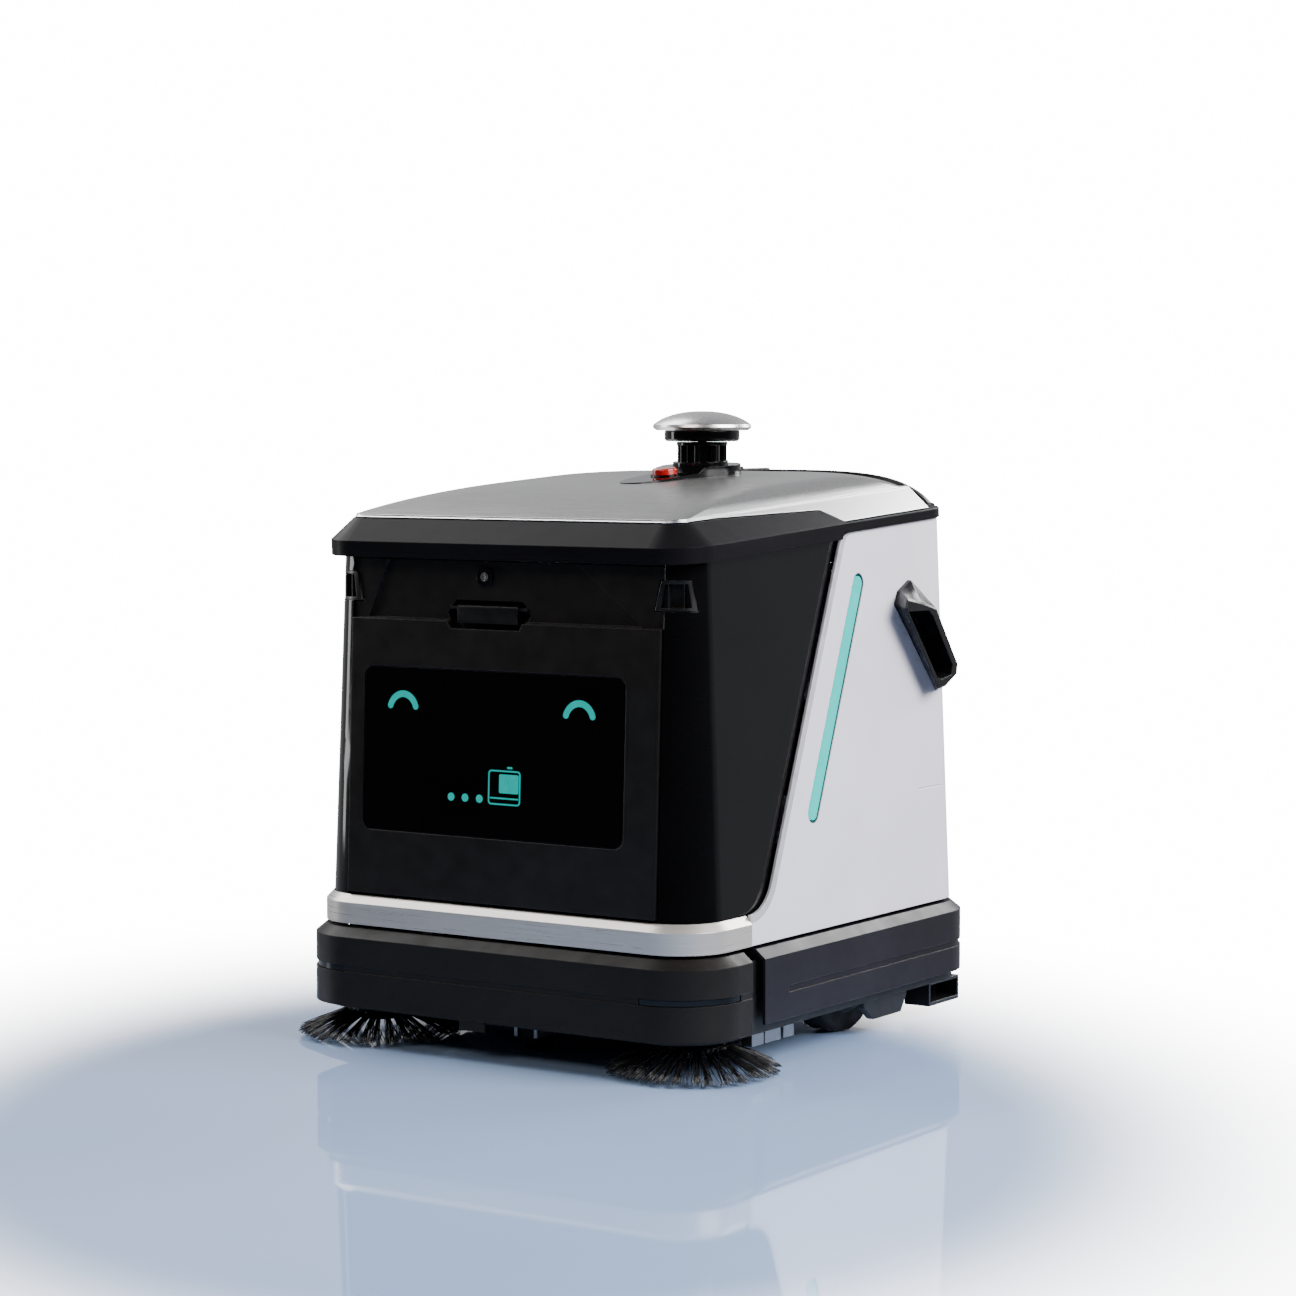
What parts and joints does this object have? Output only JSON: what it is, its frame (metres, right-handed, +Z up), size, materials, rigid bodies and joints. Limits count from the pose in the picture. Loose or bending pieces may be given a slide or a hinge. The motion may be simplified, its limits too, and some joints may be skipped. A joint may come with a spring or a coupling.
{
  "type": "robotic floor cleaner",
  "caption": "Self-driving floor sweeper: skirted base with side brushes and a roller, drop-down front door, hinged lid and a spinning lidar mast.",
  "frame": {"origin": "on the floor under the centre of the machine", "axes": "+Z up, front door faces -Y, charging contacts face +Y, +X is the machine side seen on the right from the front"},
  "size_m": [0.7136, 0.7484, 0.8233],
  "materials": {
    "battery_pack": "satin",
    "body_frame": "satin",
    "bumper_windows": "gloss",
    "caster_fork": "satin",
    "caster_wheel": "matte",
    "charging_block": "satin",
    "charging_contacts": "satin",
    "chassis_tray": "satin",
    "controller_box": "satin",
    "corner_covers": "gloss",
    "deck_blocks": "satin",
    "display_glass": "gloss",
    "door_frame": "satin",
    "drive_belt": "matte",
    "drive_motors": "satin",
    "dust_bin": "clear grey",
    "fan_housing": "satin",
    "fan_impeller": "satin",
    "filter_cassette": "pleated",
    "front_band": "satin",
    "front_bumper": "satin",
    "front_door": "gloss",
    "latch_paddle": "satin",
    "lid_bow": "satin",
    "lidar_cable": "matte",
    "lidar_cap": "satin",
    "lidar_pod": "gloss",
    "lidar_ring": "gloss",
    "lidar_stem": "gloss",
    "light_bars": "lit",
    "light_trays": "gloss",
    "lock_cylinder": "polished",
    "motor_pulley": "satin",
    "power_button": "satin",
    "rear_panel": "pearl",
    "rear_screws": "satin",
    "rear_skids": "satin",
    "rear_skirt": "satin",
    "roller_brush": "bristle",
    "roller_housing": "satin",
    "roller_motor": "satin",
    "sensor_bezels": "satin",
    "side_brush_left": "bristle",
    "side_brush_motors": "satin",
    "side_brush_right": "bristle",
    "side_handles": "satin",
    "side_panel_left": "pearl",
    "side_panel_right": "pearl",
    "side_trims": "satin",
    "skirt_left": "satin",
    "skirt_right": "satin",
    "stop_button": "gloss",
    "suction_duct": "satin",
    "top_lid": "brushed",
    "top_rim": "satin",
    "tyre_left": "matte",
    "tyre_right": "matte",
    "wheel_guards": "satin",
    "wheel_hub_left": "satin",
    "wheel_hub_right": "satin"
  },
  "bodies": {
    "chassis": {"battery_pack": "battery_pack", "body_frame": "body_frame", "charging_block": "charging_block", "charging_contacts": "charging_contacts", "chassis_tray": "chassis_tray", "controller_box": "controller_box", "corner_covers": "corner_covers", "deck_blocks": "deck_blocks", "door_frame": "door_frame", "drive_belt": "drive_belt", "drive_motors": "drive_motors", "dust_bin": "dust_bin", "fan_housing": "fan_housing", "filter_cassette": "filter_cassette", "front_band": "front_band", "light_bars": "light_bars", "light_trays": "light_trays", "rear_panel": "rear_panel", "rear_screws": "rear_screws", "rear_skids": "rear_skids", "rear_skirt": "rear_skirt", "roller_housing": "roller_housing", "roller_motor": "roller_motor", "sensor_bezels": "sensor_bezels", "side_brush_motors": "side_brush_motors", "side_handles": "side_handles", "side_panel_left": "side_panel_left", "side_panel_right": "side_panel_right", "side_trims": "side_trims", "skirt_left": "skirt_left", "skirt_right": "skirt_right", "suction_duct": "suction_duct", "top_rim": "top_rim", "wheel_guards": "wheel_guards"},
    "bumper": {"front_bumper": "front_bumper", "bumper_windows": "bumper_windows"},
    "door": {"front_door": "front_door", "display_glass": "display_glass"},
    "paddle": {"latch_paddle": "latch_paddle"},
    "lock": {"lock_cylinder": "lock_cylinder"},
    "lid": {"top_lid": "top_lid", "lid_bow": "lid_bow", "lidar_pod": "lidar_pod", "lidar_stem": "lidar_stem", "lidar_cable": "lidar_cable"},
    "stop": {"stop_button": "stop_button"},
    "rotor": {"lidar_ring": "lidar_ring", "lidar_cap": "lidar_cap"},
    "brush_left": {"side_brush_left": "side_brush_left"},
    "brush_right": {"side_brush_right": "side_brush_right"},
    "roller": {"roller_brush": "roller_brush"},
    "pulley": {"motor_pulley": "motor_pulley"},
    "wheel_left": {"wheel_hub_left": "wheel_hub_left", "tyre_left": "tyre_left"},
    "wheel_right": {"wheel_hub_right": "wheel_hub_right", "tyre_right": "tyre_right"},
    "caster": {"caster_fork": "caster_fork"},
    "caster_roll": {"caster_wheel": "caster_wheel"},
    "impeller": {"fan_impeller": "fan_impeller"},
    "power": {"power_button": "power_button"}
  },
  "joints": [
    {"name": "bumper_press", "type": "slide", "parent": "chassis", "child": "bumper", "axis": [0, 1, 0], "range_m": [0, 0.012], "stiffness_N_per_m": 900},
    {"name": "door_hinge", "type": "hinge", "parent": "chassis", "child": "door", "pos_m": [0, -0.331, 0.216], "axis": [1, 0, 0], "range_deg": [0, 80]},
    {"name": "latch_paddle", "type": "hinge", "parent": "door", "child": "paddle", "pos_m": [-0.027, -0.316, 0.573], "axis": [-1, 0, 0], "range_deg": [0, 30], "stiffness_Nm_per_rad": 0.4},
    {"name": "door_lock", "type": "hinge", "parent": "door", "child": "lock", "pos_m": [-0.033, -0.3195, 0.613], "axis": [0, 1, 0], "range_deg": [0, 90]},
    {"name": "lid_hinge", "type": "hinge", "parent": "chassis", "child": "lid", "pos_m": [0, 0.318, 0.691], "axis": [-1, 0, 0], "range_deg": [0, 75]},
    {"name": "stop_press", "type": "slide", "parent": "lid", "child": "stop", "axis": [0, 0.0959, -0.9954], "range_m": [0, 0.004], "stiffness_N_per_m": 900},
    {"name": "lidar_spin", "type": "hinge", "parent": "lid", "child": "rotor", "pos_m": [0, 0.14, 0.79], "axis": [0, 0, 1], "continuous": true},
    {"name": "side_brush_left_spin", "type": "hinge", "parent": "chassis", "child": "brush_left", "pos_m": [-0.2448, -0.2622, 0.04], "axis": [0, 0, 1], "continuous": true},
    {"name": "side_brush_right_spin", "type": "hinge", "parent": "chassis", "child": "brush_right", "pos_m": [0.2448, -0.2622, 0.04], "axis": [0, 0, 1], "continuous": true},
    {"name": "roller_spin", "type": "hinge", "parent": "chassis", "child": "roller", "pos_m": [0, -0.095, 0.048], "axis": [1, 0, 0], "continuous": true},
    {"name": "motor_pulley_spin", "type": "hinge", "parent": "chassis", "child": "pulley", "pos_m": [-0.224, -0.052, 0.152], "axis": [1, 0, 0], "continuous": true},
    {"name": "wheel_left_spin", "type": "hinge", "parent": "chassis", "child": "wheel_left", "pos_m": [-0.238, 0.095, 0.085], "axis": [1, 0, 0], "continuous": true},
    {"name": "wheel_right_spin", "type": "hinge", "parent": "chassis", "child": "wheel_right", "pos_m": [0.238, 0.095, 0.085], "axis": [1, 0, 0], "continuous": true},
    {"name": "caster_swivel", "type": "hinge", "parent": "chassis", "child": "caster", "pos_m": [0, -0.262, 0.07], "axis": [0, 0, 1], "continuous": true},
    {"name": "caster_roll", "type": "hinge", "parent": "caster", "child": "caster_roll", "pos_m": [0, -0.246, 0.03], "axis": [1, 0, 0], "continuous": true},
    {"name": "fan_spin", "type": "hinge", "parent": "chassis", "child": "impeller", "pos_m": [0, 0.06, 0.48], "axis": [0, 0, 1], "continuous": true},
    {"name": "power_press", "type": "slide", "parent": "chassis", "child": "power", "axis": [0, -1, 0], "range_m": [0, 0.0025], "stiffness_N_per_m": 500}
  ],
  "couplings": [
    {"joint": "motor_pulley_spin", "follows": "roller_spin", "ratio": 1.5}
  ]
}
